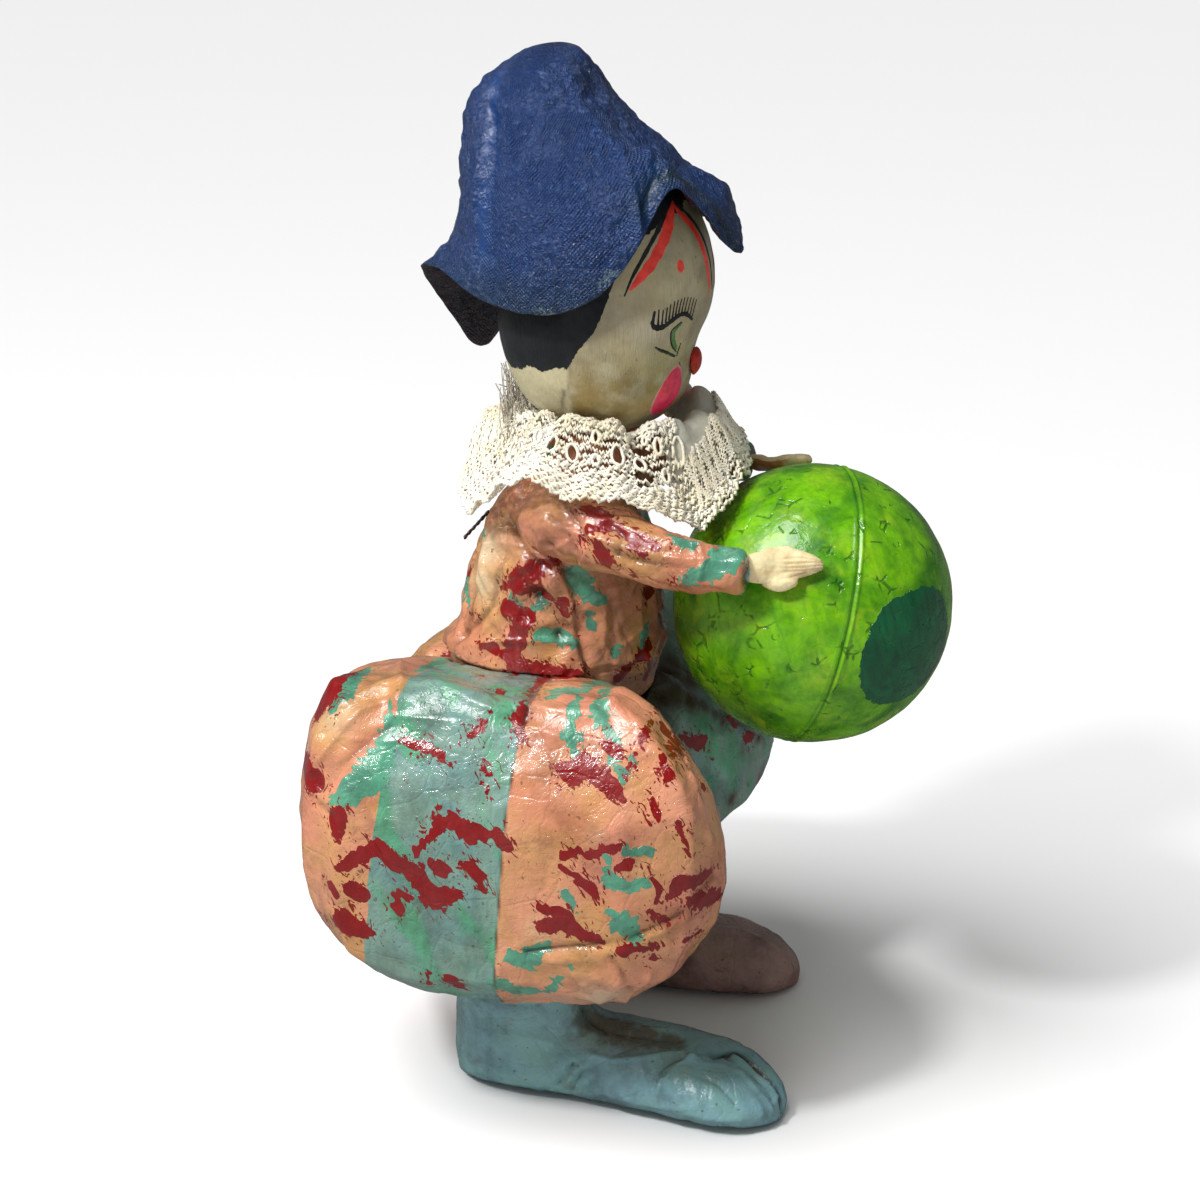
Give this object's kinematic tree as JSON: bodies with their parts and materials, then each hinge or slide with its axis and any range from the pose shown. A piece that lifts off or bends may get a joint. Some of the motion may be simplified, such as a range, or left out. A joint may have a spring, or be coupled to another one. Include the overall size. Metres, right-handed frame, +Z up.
{
  "type": "papier-mache clown figure",
  "caption": "Standing papier-mache clown in a draped blue hat, lace collar and balloon trousers, holding a big green ball in front of its chest.",
  "frame": {"origin": "middle of the footprint of the whole figure, on the surface it stands on", "axes": "+Z up along the figure, +X the way the clown faces, +Y to its left"},
  "size_m": [0.1728, 0.155, 0.284],
  "materials": {
    "blue_cloth": "stiffened canvas, painted royal blue, worn and part glossy",
    "face_paint": "varnished ivory papier-mache with painted face and slate hair",
    "red_paint": "glossy red bead",
    "lace": "cream crocheted lace",
    "steel": "dull dark wire",
    "salt_paper": "varnished salmon paper with teal and dark red splashes",
    "hand_paint": "cream paint, satin",
    "green_paint": "painted polystyrene foam, lime green with one dark green spot",
    "aqua_paint": "glossy pale blue-green varnished paper",
    "plum_paint": "satin mauve-brown varnished paper"
  },
  "bodies": {
    "root": {"hat": "blue_cloth", "head": "face_paint", "nose": "red_paint", "collar": "lace", "collar_wire": "steel", "torso": "salt_paper", "right_sleeve": "salt_paper", "left_sleeve": "salt_paper", "right_trouser_leg": "salt_paper", "left_trouser_leg": "salt_paper", "right_hand": "hand_paint", "left_hand": "hand_paint", "ball": "green_paint", "right_shoe": "aqua_paint", "left_shoe": "plum_paint"}
  },
  "joints": []
}
